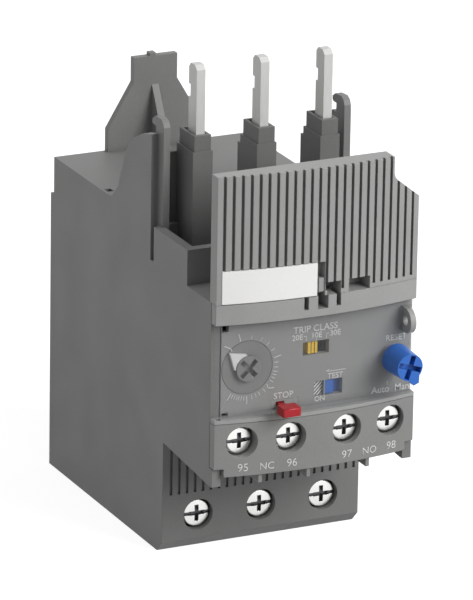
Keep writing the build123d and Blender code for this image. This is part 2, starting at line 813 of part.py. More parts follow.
def make_control_panel():
    """Front panel with the windows, its band above and its lip below, and the seal eye."""
    side = half - face_inset
    panel = bowed(-side, side, at(-wall_reach) - 0.05, band_bottom, band_top)
    panel += block(-inner + side_gap, inner - side_gap, at(-panel_reach), at(-panel_reach + panel_thickness),
                   lip_bottom, well_floor - floor_thickness - side_gap)
    panel += bowed(-side, side, at(-wall_reach) - 0.05, lip_bottom, lip_top)
    panel += block(inner - 1, side, at(-panel_reach), at(-wall_reach) + flange_seat - 0.05, lip_bottom + 0.05,
                   band_top - 0.05)
    for x0, x1, drop in band_slots:
        panel -= block(x0, x1, at(-module_reach) - 1, at(-module_reach) + band_slot_depth, band_top - drop,
                       band_top + 1)
    # Seal eye, a round-nosed lug that stands through the clear cover
    x0 = seal_eye_x - seal_eye_thickness / 2
    x1 = seal_eye_x + seal_eye_thickness / 2
    eye_y = at(-seal_eye_reach) + seal_eye_r
    eye = rod_x(x0, x1, eye_y, seal_eye_z, seal_eye_r)
    eye += block(x0, x1, eye_y, at(-wall_reach) - 0.05, seal_eye_z - seal_eye_r, seal_eye_z + seal_eye_r)
    eye -= block(x0 - 1, x1 + 1, at(-wall_reach) - 0.05, at(0), seal_eye_z - 5, seal_eye_z + 5)
    panel += eye - rod_x(x0 - 1, x1 + 1, eye_y, seal_eye_z, seal_eye_hole_r)
    # Holes and windows
    through = (at(-panel_reach) - 0.05, at(-panel_reach + panel_thickness) + 1)
    panel -= rod(dial_x, *through, dial_z, dial_r + turning_gap)
    panel -= rod(reset_x, *through, reset_z, reset_stem_r + turning_gap)
    for x0, x1, z0, z1 in (class_window, test_window, flag_window):
        panel -= block(x0, x1, *through, z0, z1)
    panel -= block(stop_left - window_gap, stop_right + window_gap, *through, stop_bottom - window_gap,
                   stop_top + window_gap)
    # Sockets of the cover's hinge pins
    panel -= post(hinge_x, at(-hinge_reach), band_bottom - 1, band_bottom + hinge_pin_length + 0.3,
                  hinge_pin_r + hinge_pin_gap)
    panel -= post(hinge_x, at(-hinge_reach), lip_bottom - 1, lip_top + 1, hinge_pin_r + hinge_pin_gap)
    return panel


def make_clear_cover():
    """Smoked clear cover that swings on two pins at its left edge."""
    z0 = lip_top + clear_gap
    z1 = band_bottom - clear_gap
    cover = bowed_sheet(clear_left, clear_right, clear_inset, clear_thickness, z0, z1)
    reach = at(-hinge_reach)
    cover += post(hinge_x, reach, z1 - 2, z1 + clear_gap + hinge_pin_length, hinge_pin_r)
    cover += post(hinge_x, reach, z0 - clear_gap - hinge_pin_length, z0 + 2, hinge_pin_r)
    front = (at(-module_reach) - 1, at(-wall_reach))
    cover -= rod(reset_x, *front, reset_z, reset_base_r + reset_clear)
    cover -= rod(reset_x + 0.5, *front, reset_z, reset_base_r + reset_clear)
    # The opening is wider on the right, where its edge swings past the button
    cover -= block(stop_left - clear_stop_gap, stop_right + clear_stop_swing, *front,
                   stop_bottom - clear_stop_gap, stop_top + clear_stop_gap)
    cover -= block(seal_eye_x - seal_eye_thickness / 2 - 0.3, seal_eye_x + seal_eye_thickness / 2 + 0.5, *front,
                   seal_eye_z - seal_eye_r - 0.3, seal_eye_z + seal_eye_r + 0.3)
    # Notches beside the hinge pins
    for low, high in ((z0, z0 + 1.0), (z1 - 1.6, z1)):
        cover -= block(hinge_x + hinge_pin_r, hinge_x + hinge_pin_r + hinge_notch, *front, low, high)
    return cover


def make_setting_dial():
    """Dial with a raised hub, a driver cross and the shaft of the setting potentiometer."""
    face = at(-panel_reach)
    dial = rod(dial_x, face, face + dial_thickness, dial_z, dial_r)
    dial += rod(dial_x, at(-dial_hub_reach), face + dial_thickness, dial_z, dial_hub_r)
    dial += rod(dial_x, face, at(-pot_front + dial_shaft_entry), dial_z, dial_shaft_r)
    return dial - cross_recess(dial_x, dial_z, at(-dial_hub_reach), dial_cross_length, dial_cross_width, 1.1, 45)


def make_dial_pointer():
    """White pointer on the dial, a triangle hollowed round the hub."""
    spread = math.radians(42)
    a = math.radians(dial_pointer_angle)
    tip = (dial_pointer_r * math.cos(a), dial_pointer_r * math.sin(a))
    left = (dial_pointer_inner * math.cos(a + spread), dial_pointer_inner * math.sin(a + spread))
    right = (dial_pointer_inner * math.cos(a - spread), dial_pointer_inner * math.sin(a - spread))
    outline = make_face(Polyline(tip, left, (0, 0), right, close=True)) - Circle(dial_hub_r + 0.05)
    y = at(-dial_hub_reach) + 0.25
    return extrude(Plane.XZ.offset(-y) * Pos(dial_x, dial_z) * outline, amount=-(at(-panel_reach) - y))


def make_window_slider(left, slider_width, window):
    """Slider that shows in a panel window, with a flange behind the panel and a peg to its switch."""
    z0 = window[2] + window_gap
    z1 = window[3] - window_gap
    x1 = left + slider_width
    rear = at(-panel_reach + panel_thickness)
    body = block(left, x1, at(-panel_reach) + slider_inset, rear + 0.3, z0, z1)
    body += block(left, x1, rear + 0.15, rear + 0.15 + slider_flange, z0 - slider_flange_rise,
                  z1 + slider_flange_rise)
    mid_x = (left + x1) / 2
    mid_z = (z0 + z1) / 2
    return body + block(mid_x - slider_peg, mid_x + slider_peg, rear + 1, at(-switch_front + slider_peg_entry),
                        mid_z - slider_peg, mid_z + slider_peg)


def make_stop_button():
    """Button with a collar behind the panel and a stem for its spring."""
    rear = at(-panel_reach + panel_thickness)
    head = block(stop_left, stop_right, at(-stop_reach), rear + 0.3, stop_bottom, stop_top)
    head = fillet(head.faces().sort_by(Axis.Y)[0].edges(), 0.4)
    head += block(stop_left - stop_flange, stop_right + stop_flange, rear + 0.1, rear + 0.1 + stop_flange,
                  stop_bottom - stop_flange, stop_top + stop_flange)
    return head + rod((stop_left + stop_right) / 2, rear + 0.5, at(-stop_stem_reach), (stop_bottom + stop_top) / 2,
                      stop_stem_r)


def make_reset_knob():
    """Tapered knob with a driver cross and a nose that points at the chosen setting."""
    length = reset_reach - reset_rear_reach
    start = Plane.XZ.offset(-at(-reset_reach)) * Pos(reset_x, reset_z)
    knob = extrude(start * Circle(reset_face_r), amount=-length,
                   taper=-math.degrees(math.atan((reset_base_r - reset_face_r) / length)))
    a = math.radians(reset_nose_angle)
    nose = make_face(Polyline(
        (2.2 * math.cos(a + 1.1), 2.2 * math.sin(a + 1.1)),
        (reset_nose_r * math.cos(a + 0.16), reset_nose_r * math.sin(a + 0.16)),
        (reset_nose_r * math.cos(a - 0.16), reset_nose_r * math.sin(a - 0.16)),
        (2.2 * math.cos(a - 1.1), 2.2 * math.sin(a - 1.1)), close=True))
    knob += extrude(start * nose, amount=-reset_nose_length)
    knob -= cross_recess(reset_x, reset_z, at(-reset_reach), cross_reset_length, cross_reset_width,
                         cross_reset_depth, 18)
    return knob - rod(reset_x, at(-reset_stem_front) - 0.2, at(-reset_rear_reach) + 1, reset_z,
                      reset_stem_r + stem_gap)


def make_reset_plunger():
    """Plunger that the knob turns on: stem, collar behind the panel and spring guide."""
    collar = rod(reset_x, at(-reset_flange_reach), at(-reset_flange_reach + reset_flange_thickness), reset_z,
                 reset_flange_r)
    return collar + rod(reset_x, at(-reset_stem_front), at(-reset_stem_rear), reset_z, reset_stem_r)


def make_main_board():
    """Upright circuit board behind the panel."""
    y0 = at(-board_reach)
    board = block(-board_half_width, board_half_width, y0, y0 + board_thickness, board_bottom, board_top)
    arm_x0 = flag_window[0] - trip_travel - 0.3
    arm_x1 = flag_window[0] + 1.6
    return board - block(arm_x0, arm_x1, y0 - 1, y0 + board_thickness + 1, flag_arm_bottom - 0.3,
                         flag_arm_bottom + flag_arm_height + 0.3)


def make_setting_potentiometer():
    """Potentiometer that the dial's shaft enters."""
    body = block(dial_x - pot_half, dial_x + pot_half, at(-pot_front), at(-board_reach), dial_z - pot_half,
                 dial_z + pot_half)
    return body - rod(dial_x, at(-pot_front) - 1, at(-pot_front + dial_shaft_entry) + 0.3, dial_z, dial_shaft_r + stem_gap)


def make_slide_switch(x0, x1, z):
    """Slide switch on the board, with a slot for the peg of a panel slider."""
    body = block(x0 - switch_margin, x1 + switch_margin, at(-switch_front), at(-board_reach), z - switch_half,
                 z + switch_half)
    return body - block(x0, x1, at(-switch_front) - 1, at(-switch_front) + 1.5, z - switch_slot / 2,
                        z + switch_slot / 2)


def make_trip_slide():
    """Slide of the trip unit, with the arm of the flag and the lug of the plunger."""
    y0 = at(-slide_reach)
    slide = block(slide_left, slide_right, y0, y0 + slide_depth, slide_bottom, slide_bottom + slide_height)
    arm_x = flag_window[0] + 0.3
    flag_y = at(-flag_reach) + flag_thickness
    slide += block(arm_x, arm_x + 1.0, flag_y, y0 + 0.5, flag_arm_bottom, flag_arm_bottom + flag_arm_height)
    slide += block(slide_left, slide_left + plunger_lug, y0 + 1, at(coil_back) + plunger_r,
                   coil_z - plunger_r - 0.2, coil_z + plunger_r + 0.2)
    # Seats of the two contact bridges
    for x in bridge_x:
        slide -= block(x, x + bridge_thickness, y0 - 1, y0 + slide_depth + 1, slide_bottom - 1,
                       slide_bottom + slide_height + 1)
        slide += block(x - 0.8, x + bridge_thickness + 0.8, y0, y0 + 0.5, slide_bottom, slide_bottom + slide_height)
    return slide


def make_contact_bridge(x):
    """Moving contact bridge across one pair of fixed contacts."""
    y0 = at(-slide_reach)
    return block(x, x + bridge_thickness, y0 + 0.5, y0 + slide_depth - 0.1, bridge_bottom, bridge_top)


def make_trip_flag():
    """Flag that shows in its window until the relay trips."""
    y0 = at(-flag_reach)
    return block(flag_window[0] - flag_margin, flag_window[1] + 0.05, y0, y0 + flag_thickness,
                 flag_window[2] - flag_margin, flag_arm_bottom + flag_arm_height)


def make_trip_coil():
    """Winding of the trip relay, with the bore of its plunger."""
    coil = rod_x(-coil_length / 2, coil_length / 2, at(coil_back), coil_z, coil_r)
    return coil - rod_x(-coil_length, coil_length, at(coil_back), coil_z, coil_bore_r)


def make_trip_yoke():
    """Bent iron yoke round the coil."""
    x1 = coil_length / 2 + yoke_thickness
    y = at(coil_back)
    z0 = coil_z - coil_r - yoke_thickness
    yoke = block(-x1, x1, y - yoke_half_width, y + yoke_half_width, z0, z0 + yoke_thickness)
    for side in (-1, 1):
        a = side * coil_length / 2
        b = side * x1
        yoke += block(min(a, b), max(a, b), y - yoke_half_width, y + yoke_half_width, z0, yoke_top)
    return yoke - rod_x(-2 * x1, 0, y, coil_z, coil_bore_r)


def make_trip_plunger():
    """Plunger of the trip relay, pinned to the slide."""
    return rod_x(slide_left + plunger_lug, coil_length / 2 - 0.6, at(coil_back), coil_z, plunger_r)


def make_holding_magnet():
    """Permanent magnet on the end of the yoke."""
    x0 = coil_length / 2 + yoke_thickness
    return rod_x(x0, x0 + magnet_thickness, at(coil_back), coil_z, magnet_r)


def make_rear_board():
    """Power board between the transformers and the rear cover."""
    y0 = at(rear_board_front)
    return block(-board_half_width, board_half_width, y0, y0 + board_thickness, rear_board_bottom, rear_board_top)


def make_capacitor():
    """Storage capacitor that lies on the rear board."""
    return rod_x(-capacitor_length / 2, capacitor_length / 2, at(rear_board_front + board_thickness) + capacitor_r,
                 capacitor_z, capacitor_r)


# Left faces of the break bridge, closed at rest, and of the make bridge, open at rest
bridge_x = [
    -contact_x - contact_lug - contact_height - contact_gap - bridge_thickness,
    contact_x + contact_lug + contact_height + contact_gap + trip_travel]

nodes["main_housing"] = make_main_housing()
nodes["rear_cover"] = make_rear_cover()
for i, x in enumerate(pole_x, start=1):
    nodes[f"phase_sleeve_{i}"] = make_phase_sleeve(x)
    nodes[f"busbar_{i}"] = make_busbar(x)
    nodes[f"main_screw_{i}"] = make_main_screw(x)
    nodes[f"main_clamp_{i}"] = make_main_clamp(x)
    core, winding = make_current_transformer(x)
    nodes[f"transformer_core_{i}"] = core
    nodes[f"transformer_winding_{i}"] = winding
nodes["terminal_block"] = make_terminal_block()
aux_names = ["95", "96", "97", "98"]
contact_z = [upper_contact_z, lower_contact_z, lower_contact_z, upper_contact_z]
for i, x in enumerate(aux_x):
    nodes[f"aux_screw_{aux_names[i]}"] = make_aux_screw(x)
    nodes[f"aux_clamp_{aux_names[i]}"] = make_aux_clamp(x)
    nodes[f"aux_contact_{aux_names[i]}"] = make_aux_contact(x, -1 if x < 0 else 1, contact_z[i])
nodes["upper_cover"] = make_upper_cover()
nodes["marker_plate"] = make_marker_plate()
nodes["control_panel"] = make_control_panel()
nodes["clear_cover"] = make_clear_cover()
nodes["setting_dial"] = make_setting_dial()
nodes["dial_pointer"] = make_dial_pointer()
nodes["class_slider"] = make_window_slider(class_slider_left, class_slider_width, class_window)
nodes["test_slider"] = make_window_slider(test_window[0] + 0.02, test_slider_width, test_window)
nodes["stop_button"] = make_stop_button()
nodes["reset_knob"] = make_reset_knob()
nodes["reset_plunger"] = make_reset_plunger()
nodes["main_board"] = make_main_board()
nodes["setting_potentiometer"] = make_setting_potentiometer()
nodes["class_switch"] = make_slide_switch(*class_window[:2], (class_window[2] + class_window[3]) / 2)
nodes["test_switch"] = make_slide_switch(*test_window[:2], (test_window[2] + test_window[3]) / 2)
nodes["trip_slide"] = make_trip_slide()
nodes["trip_flag"] = make_trip_flag()
nodes["break_bridge"] = make_contact_bridge(bridge_x[0])
nodes["make_bridge"] = make_contact_bridge(bridge_x[1])
nodes["trip_coil"] = make_trip_coil()
nodes["trip_yoke"] = make_trip_yoke()
nodes["trip_plunger"] = make_trip_plunger()
nodes["holding_magnet"] = make_holding_magnet()
nodes["rear_board"] = make_rear_board()
nodes["storage_capacitor"] = make_capacitor()

collar_y = at(-panel_reach + panel_thickness) + 0.1 + stop_flange
nodes["stop_spring"] = spring_y((stop_left + stop_right) / 2, (stop_bottom + stop_top) / 2, collar_y + spring_seat,
                                at(-board_reach) - spring_seat, stop_spring_r)
nodes["reset_spring"] = spring_y(reset_x, reset_z, at(-reset_flange_reach + reset_flange_thickness) + spring_seat,
                                 at(-board_reach) - spring_seat, reset_spring_r)

for name, part in nodes.items():
    export_step(part, f"parts/{name}.step")
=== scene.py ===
import math

import bmesh
import bpy
import numpy as np
from mathutils import Matrix


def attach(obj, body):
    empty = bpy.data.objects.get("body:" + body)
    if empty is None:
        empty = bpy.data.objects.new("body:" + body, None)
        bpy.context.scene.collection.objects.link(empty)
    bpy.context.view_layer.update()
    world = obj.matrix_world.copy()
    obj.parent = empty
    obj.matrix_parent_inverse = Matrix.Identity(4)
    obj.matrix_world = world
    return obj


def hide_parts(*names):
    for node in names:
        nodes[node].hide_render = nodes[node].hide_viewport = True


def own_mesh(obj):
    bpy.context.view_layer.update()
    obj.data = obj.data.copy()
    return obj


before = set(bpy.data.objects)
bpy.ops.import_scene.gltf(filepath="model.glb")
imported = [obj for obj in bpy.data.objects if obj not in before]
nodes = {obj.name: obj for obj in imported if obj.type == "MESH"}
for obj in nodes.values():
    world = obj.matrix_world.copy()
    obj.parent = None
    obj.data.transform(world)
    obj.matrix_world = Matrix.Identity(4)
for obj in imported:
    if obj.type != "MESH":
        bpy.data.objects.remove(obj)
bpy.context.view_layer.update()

MM = 0.001


# The photographer's table. A pale floor under the relay, a large soft lamp from the front
# right, a weaker one from above, and a long lens that looks at the setting panel from its
# left and from above.
def direction(azimuth, elevation):
    """Unit vector that looks along +Y at azimuth 0 and turns to +X, sinking by the elevation."""
    a = math.radians(azimuth)
    e = math.radians(elevation)
    return np.array([math.sin(a) * math.cos(e), math.cos(a) * math.cos(e), -math.sin(e)])


view_azimuth = 25.746
view_elevation = 19.175
view_roll = math.radians(0.969)
photo_focal_px = 6060.8
photo_height_px = 600
camera_place = (-0.5141, -1.08155, 0.4597)

forward = direction(view_azimuth, view_elevation)
level = np.array([math.cos(math.radians(view_azimuth)), -math.sin(math.radians(view_azimuth)), 0.0])
upright = np.cross(level, forward)
right = math.cos(view_roll) * level + math.sin(view_roll) * upright
up = -math.sin(view_roll) * level + math.cos(view_roll) * upright

lens = bpy.data.cameras.new("photo_camera")
lens.sensor_fit = "VERTICAL"
lens.sensor_height = 36.0
lens.lens = photo_focal_px * lens.sensor_height / photo_height_px
lens.clip_start = 0.05
camera = bpy.data.objects.new("photo_camera", lens)
bpy.context.scene.collection.objects.link(camera)
camera.matrix_world = Matrix([
    [right[0], up[0], -forward[0], camera_place[0]],
    [right[1], up[1], -forward[1], camera_place[1]],
    [right[2], up[2], -forward[2], camera_place[2]],
    [0.0, 0.0, 0.0, 1.0]])
bpy.context.scene.camera = camera
bpy.context.scene.view_settings.view_transform = "Standard"


def lamp(name, watts, size, place, aim):
    """Square area lamp at a place, turned to its aim."""
    light = bpy.data.lights.new(name, "AREA")
    light.energy = watts
    light.size = size
    holder = bpy.data.objects.new(name, light)
    bpy.context.scene.collection.objects.link(holder)
    back = np.array(place, float) - np.array(aim, float)
    back /= np.linalg.norm(back)
    side = np.cross((0.0, 0.0, 1.0), back)
    side /= np.linalg.norm(side)
    top = np.cross(back, side)
    holder.matrix_world = Matrix([
        [side[0], top[0], back[0], place[0]],
        [side[1], top[1], back[1], place[1]],
        [side[2], top[2], back[2], place[2]],
        [0.0, 0.0, 0.0, 1.0]])


relay_middle = (0.0, 0.0, 0.05)
lamp("key_lamp", 12.8, 0.7, (0.6, -0.95, 0.65), relay_middle)
lamp("top_lamp", 4.2, 0.9, (-0.2, 0.1, 1.3), relay_middle)


def add(tree, kind, links=None, values=None, **settings):
    """Adds one node: links feed its sockets, values fill its sockets, settings fill its fields."""
    node = tree.nodes.new(kind)
    for key, value in settings.items():
        setattr(node, key, value)
    for key, value in (values or {}).items():
        node.inputs[key].default_value = value
    for key, socket in (links or {}).items():
        tree.links.new(socket, node.inputs[key])
    return node


def colour(hex_code):
    """sRGB hex colour as linear RGBA."""
    parts = np.array([int(hex_code[i:i + 2], 16) for i in (1, 3, 5)]) / 255.0
    linear = np.where(parts <= 0.04045, parts / 12.92, ((parts + 0.055) / 1.055) ** 2.4)
    return (*linear.tolist(), 1.0)


def seen_directly(tree):
    """1 for a surface seen by itself, in a reflection or through a clear piece, else 0."""
    ray = add(tree, "ShaderNodeLightPath")
    seen = add(tree, "ShaderNodeMath",
               {0: ray.outputs["Is Camera Ray"], 1: ray.outputs["Is Glossy Ray"]}, operation="MAXIMUM")
    seen = add(tree, "ShaderNodeMath",
               {0: seen.outputs[0], 1: ray.outputs["Is Transmission Ray"]}, operation="MAXIMUM")
    return seen.outputs[0]


# White air round the table, weak as a light, so that the left wall stays dark.
world = bpy.data.worlds.new("studio_air")
bpy.context.scene.world = world
world.use_nodes = True
sky = world.node_tree
sky.nodes.clear()
soft = add(sky, "ShaderNodeBackground", None, {"Color": colour("#FFFFFF"), "Strength": 0.3})
white = add(sky, "ShaderNodeBackground", None, {"Color": colour("#FFFFFF"), "Strength": 1.0})
air = add(sky, "ShaderNodeMixShader", {0: seen_directly(sky), 1: soft.outputs[0], 2: white.outputs[0]})
add(sky, "ShaderNodeOutputWorld", {"Surface": air.outputs[0]})


def blank_material(name):
    """New material with an empty node tree."""
    material = bpy.data.materials.new(name)
    material.use_nodes = True
    material.node_tree.nodes.clear()
    return material, material.node_tree


# Painted board, matt and pale. It is lifted to white where it is seen, and keeps the shadow.
board_lift = 0.8
board_paint, tree = blank_material("white_board")
paint = add(tree, "ShaderNodeBsdfDiffuse", None, {"Color": colour("#B4B4B4"), "Roughness": 0.8})
lift = add(tree, "ShaderNodeMath", {0: seen_directly(tree)}, {1: board_lift}, operation="MULTIPLY")
glow = add(tree, "ShaderNodeEmission", {"Strength": lift.outputs[0]}, {"Color": colour("#FFFFFF")})
both = add(tree, "ShaderNodeAddShader", {0: paint.outputs[0], 1: glow.outputs[0]})
add(tree, "ShaderNodeOutputMaterial", {"Surface": both.outputs[0]})

board_half = 3
table = bpy.data.meshes.new("floor")
table.from_pydata([(-board_half, -board_half, 0), (board_half, -board_half, 0),
                   (board_half, board_half, 0), (-board_half, board_half, 0)], [], [(0, 1, 2, 3)])
floor = bpy.data.objects.new("floor", table)
bpy.context.scene.collection.objects.link(floor)
table.materials.append(board_paint)


# The case and its rear cover. Glass-filled polyamide, injection moulded in one piece with the
# latch hooks, the side fins and the bracket plate. The rear cover snaps in from behind.
noise_span = {"From Min": 0.3, "From Max": 0.7}  # a noise texture hardly leaves this range


def moulded(name, hex_code, grain_mm=0.35, roughness=0.5, relief=0.12, edge_mm=0.18, cloud=0.04,
            recess_shade=0.45):
    """Moulded plastic: grain of that size in mm, soft edges, a cloudy tone and painted corner shade.

    The tone is the colour times a cloud noise, times a grain noise, times a painted shade that falls
    by the given share where ambient occlusion finds the surface hemmed in. A spark-eroded tool
    leaves a grain of about 0.05 mm, which is too fine to show, so it is drawn several times as coarse.
    """
    material, tree = blank_material(name)
    place = add(tree, "ShaderNodeTexCoord")
    grain = add(tree, "ShaderNodeTexNoise", {"Vector": place.outputs["Object"]},
                {"Scale": 1.0 / (grain_mm * MM), "Detail": 2.0, "Roughness": 0.6})
    clouds = add(tree, "ShaderNodeTexNoise", {"Vector": place.outputs["Object"]},
                 {"Scale": 90.0, "Detail": 3.0})
    span = {**noise_span, "To Min": 1.0 - cloud, "To Max": 1.0 + cloud}
    tone = add(tree, "ShaderNodeMapRange", {"Value": clouds.outputs["Fac"]}, span)
    speck = add(tree, "ShaderNodeMapRange", {"Value": grain.outputs["Fac"]}, span)
    both = add(tree, "ShaderNodeMath", {0: tone.outputs[0], 1: speck.outputs[0]}, operation="MULTIPLY")
    # Painted shade: ambient occlusion darkens the colour in corners, creases and recesses, where shade
    # falls.
    corner = add(tree, "ShaderNodeAmbientOcclusion", None, {"Distance": 1.6 * MM}, samples=6,
                 only_local=True)
    recess_shade_tone = add(tree, "ShaderNodeMapRange", {"Value": corner.outputs["AO"]},
               {"To Min": 1.0 - recess_shade, "To Max": 1.0})
    both = add(tree, "ShaderNodeMath", {0: both.outputs[0], 1: recess_shade_tone.outputs[0]}, operation="MULTIPLY")
    base = add(tree, "ShaderNodeVectorMath", {"Scale": both.outputs[0]}, {0: colour(hex_code)[:3]},
               operation="SCALE")
    gloss = add(tree, "ShaderNodeMapRange", {"Value": clouds.outputs["Fac"]},
                {**noise_span, "To Min": roughness - 0.04, "To Max": roughness + 0.06})
    edge = add(tree, "ShaderNodeBevel", None, {"Radius": edge_mm * MM}, samples=4)
    bump = add(tree, "ShaderNodeBump", {"Height": grain.outputs["Fac"], "Normal": edge.outputs[0]},
               {"Strength": relief, "Distance": 0.05 * MM})
    skin = add(tree, "ShaderNodeBsdfPrincipled",
               {"Base Color": base.outputs[0], "Roughness": gloss.outputs[0], "Normal": bump.outputs[0]},
               {"IOR": 1.5, "Specular IOR Level": 0.35})
    add(tree, "ShaderNodeOutputMaterial", {"Surface": skin.outputs[0]})
    return material


def dress(material, *names):
    """Gives CAD nodes this material."""
    for name in names:
        for slot in nodes[name].material_slots:
            slot.material = material


def finish_piece(piece, body, replaced):
    """Hides the CAD nodes that the piece replaces and hangs the piece on its body."""
    if replaced:
        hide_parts(*replaced)
    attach(piece, body)


def shell(name, points, faces, material, body, replaced=()):
    """Piece from its points in mm and its faces. Without a body it is still unfinished."""
    mesh = bpy.data.meshes.new(name)
    mesh.from_pydata((np.asarray(points, float) * MM).tolist(), [], list(map(tuple, faces)))
    mesh.materials.append(material)
    mesh.update()
    piece = bpy.data.objects.new(name, mesh)
    bpy.context.scene.collection.objects.link(piece)
    if body:
        finish_piece(piece, body, replaced)
    return piece


def boxes(name, corners, material):
    """One mesh of boxes, each given as (x0, x1, y0, y1, z0, z1) in mm."""
    spans = np.asarray(corners, float).reshape(-1, 3, 2)
    pick = np.array([(i, j, k) for i in (0, 1) for j in (0, 1) for k in (0, 1)])
    points = np.stack([spans[:, axis][:, pick[:, axis]] for axis in range(3)], axis=-1).reshape(-1, 3)
    box = np.array([(0, 1, 3, 2), (4, 6, 7, 5), (0, 4, 5, 1), (2, 3, 7, 6), (0, 2, 6, 4), (1, 5, 7, 3)])
    faces = (box[None] + 8 * np.arange(len(spans))[:, None, None]).reshape(-1, 4)
    return shell(name, points, faces.tolist(), material, None)


def work(piece, operation, corners, material_mode="INDEX", material=None):
    """Takes boxes away from a piece, or joins them to it. TRANSFER gives the cut faces that material."""
    tool = boxes("cutter", corners, material or piece.data.materials[0])
    change = piece.modifiers.new(operation.lower(), "BOOLEAN")
    change.operation = operation
    change.solver = "EXACT"
    change.material_mode = material_mode
    change.use_self = len(corners) > 1
    change.object = tool
    graph = bpy.context.evaluated_depsgraph_get()
    mesh = bpy.data.meshes.new_from_object(piece.evaluated_get(graph))
    piece.modifiers.clear()
    piece.data = mesh
    bpy.data.objects.remove(tool)


def reworked(node, material, body, cuts=(), joins=()):
    """Finer copy of a CAD node: its merged mesh with boxes joined and others taken away."""
    mesh = nodes[node].data.copy()
    merged = bmesh.new()
    merged.from_mesh(mesh)
    bmesh.ops.remove_doubles(merged, verts=merged.verts, dist=0.001 * MM)
    merged.to_mesh(mesh)
    merged.free()
    mesh.materials.clear()
    mesh.materials.append(material)
    piece = bpy.data.objects.new(f"{node}_fine", mesh)
    bpy.context.scene.collection.objects.link(piece)
    if len(joins):
        work(piece, "UNION", joins)
    if len(cuts):
        work(piece, "DIFFERENCE", cuts)
    finish_piece(piece, body, (node,))


# Dark warm grey with a matt, slightly cloudy skin that shows the edges by a soft light line, and painted
# shade in its corners and recesses.
grey_polyamide = moulded("grey_polyamide", "#7F807E", recess_shade=0.35)
dress(grey_polyamide, "main_housing", "rear_cover")

# The small pocket in the deck behind the left fin, where the tool's slide leaves the part.
front_y = -28.75
deck_pocket = (-21.7, -20.4, front_y + 30.2, front_y + 32.0, 68.4, 70.3)
reworked("main_housing", grey_polyamide, "relay", cuts=[deck_pocket])


# The ribbed cover. Polyamide, moulded with a bow in plan and snapped on in front of the blades.
# Its 24 grooves run out through the top edge, and two notches stand beside the marker plate.
bow_radius = 104.6
bow_front = front_y - 26.45


def bow_y(x):
    """Y of the bowed front at x, in mm: a circular arc about a point behind the front's middle."""
    return bow_front + bow_radius - np.sqrt(bow_radius ** 2 - np.asarray(x, float) ** 2)


# Lighter than the case and turned to the lamp, so each rib reads as a light line by a dark one.
cover_polyamide = moulded("ribbed_cover_polyamide", "#A1A2A0")
dress(cover_polyamide, "upper_cover", "control_panel")

cover_half = 22.5
rib_first = 1.526
rib_pitch = 1.821
rib_count = 24
groove_half = 0.31
groove_depth = 0.8
groove_top = (86.5, 90.0)
before_bow = bow_front - 1.0
notch_back = bow_front + 4.8
notch_rise = (61.0, 64.45)
rib_x = -cover_half + rib_first + rib_pitch * np.arange(rib_count)
groove_ends = [(x - groove_half, x + groove_half, before_bow, float(bow_y(x)) + groove_depth, *groove_top)
               for x in rib_x]
notches = [(1.05, 4.1, before_bow, notch_back, *notch_rise),
           (5.95, 10.85, before_bow, notch_back, *notch_rise)]
reworked("upper_cover", cover_polyamide, "relay", cuts=groove_ends + notches)


# The control panel. One moulding of the cover's polyamide: the band above the clear cover, the
# panel behind it, the lip below it and the seal eye. It snaps into the case.
panel_y = front_y - 22.2
panel_back = panel_y + 1.5
before_panel = panel_y - 0.5
past_panel = panel_back + 0.4
band_back = bow_front + 4.2

neck = (-7.7, -6.2, 38.2, 38.6)
neck_gap = 0.2
neck_hole = (neck[0] - neck_gap, neck[1] + neck_gap, panel_y - 1.0, past_panel,
             neck[2] - neck_gap, neck[3] + neck_gap)
around_neck = (-10.6, -5.4, panel_y, panel_back, 37.6, 40.7)
flag_pocket = (-1.8, 2.95, panel_y + 0.7, past_panel, 38.3, 45.8)
band_slots = [(-4.0, -3.0, before_bow, band_back, 59.15, 62.5),
              (-0.95, 1.35, before_bow, band_back, 59.0, 62.5),
              (3.2, 4.2, before_bow, band_back, 59.2, 62.5)]
corner_pockets = [(-20.2, -18.7, before_panel, past_panel, 55.3, 56.8),
                  (-20.0, -18.6, before_panel, past_panel, 37.35, 38.0)]
reworked("control_panel", cover_polyamide, "relay",
         cuts=[neck_hole, flag_pocket] + band_slots + corner_pockets, joins=[around_neck])


# The block of the four auxiliary terminals. The same glass-filled polyamide as the case, in a
# paler batch with the same matt grain, moulded with its screw wells and snapped in below.
block_polyamide = moulded("block_polyamide", "#8C8D8B")
dress(block_polyamide, "terminal_block")


# The blade sleeves. Polyamide, slid over the blades from above. Only the outer sides keep the
# plate that closes the gap to the wall.
sleeve_polyamide_painted_shade = moulded("sleeve_polyamide_painted_shade", "#70716F")  # darkest grey: painted shade, as it stands in the shade of the well
dress(sleeve_polyamide_painted_shade, "phase_sleeve_1", "phase_sleeve_2", "phase_sleeve_3")

pole_x = {1: -14.3, 2: 0.0, 3: 14.3}
inner_sides = {1: (1,), 2: (-1, 1), 3: (-1,)}
plate_depth = (front_y + 8.1, front_y + 9.6)
plate_rise = (69.0, 84.5)
for i, x in pole_x.items():
    plates = [sorted((x + 2.2 * side, x + 3.7 * side)) for side in inner_sides[i]]
    reworked(f"phase_sleeve_{i}", sleeve_polyamide_painted_shade, "relay",
             cuts=[(*plate, *plate_depth, *plate_rise) for plate in plates])


# The white plate for the user's own marking. Polycarbonate, moulded thin, left plain and
# pushed into its frame in the ribbed cover: a clean white with hardly any grain.
dress(moulded("white_polycarbonate", "#F8F8F6", grain_mm=0.6, roughness=0.42, relief=0.05, cloud=0.01),
      "marker_plate")


# The setting dial and its pointer. Acetal, moulded in two shots and turned by a screwdriver: a
# smooth grey face with a low sheen, and a bright white arrow on it.
dress(moulded("dial_acetal", "#8E908D", grain_mm=0.3, roughness=0.45, relief=0.08), "setting_dial")
